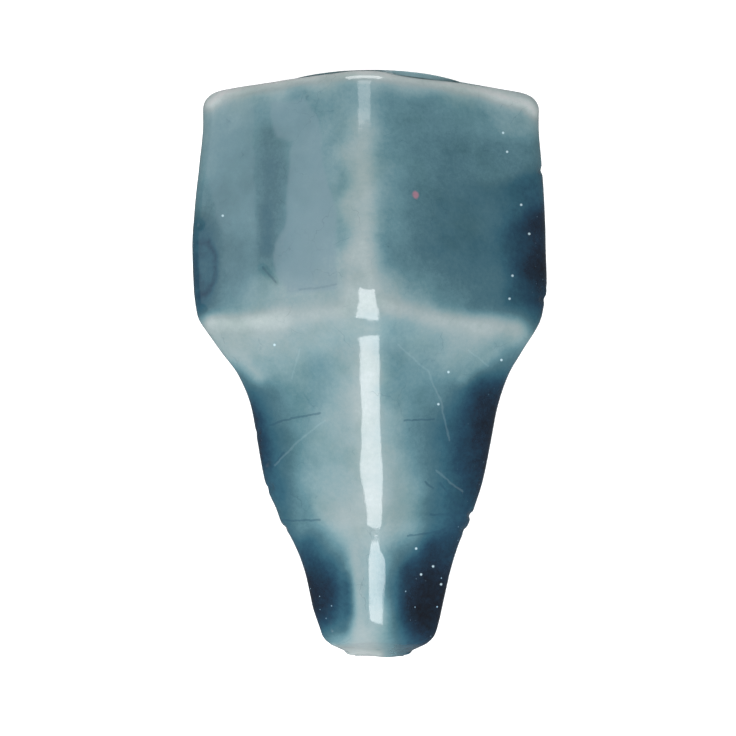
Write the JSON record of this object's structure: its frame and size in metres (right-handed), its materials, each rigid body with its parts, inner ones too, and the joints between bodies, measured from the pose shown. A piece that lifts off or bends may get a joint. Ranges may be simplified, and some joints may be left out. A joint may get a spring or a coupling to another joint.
{
  "type": "guitar slide",
  "caption": "Ridged, tapering ceramic slide worn on a fretting finger: a round blind bore opens at the wide end; a thick blue glaze coats the outside.",
  "frame": {"origin": "under the middle of the slide, on the flat back it rests on", "axes": "+Z out of the flat back up to the long ridge, +Y along the finger bore towards its open mouth, +X to the right seen from above with the mouth at the top"},
  "size_m": [0.0355, 0.0544, 0.0272],
  "materials": {
    "fired_clay": "matte",
    "blue_glaze": "glossy"
  },
  "bodies": {
    "root": {"ceramic_body": "fired_clay", "glaze_coat": "blue_glaze"}
  },
  "joints": []
}
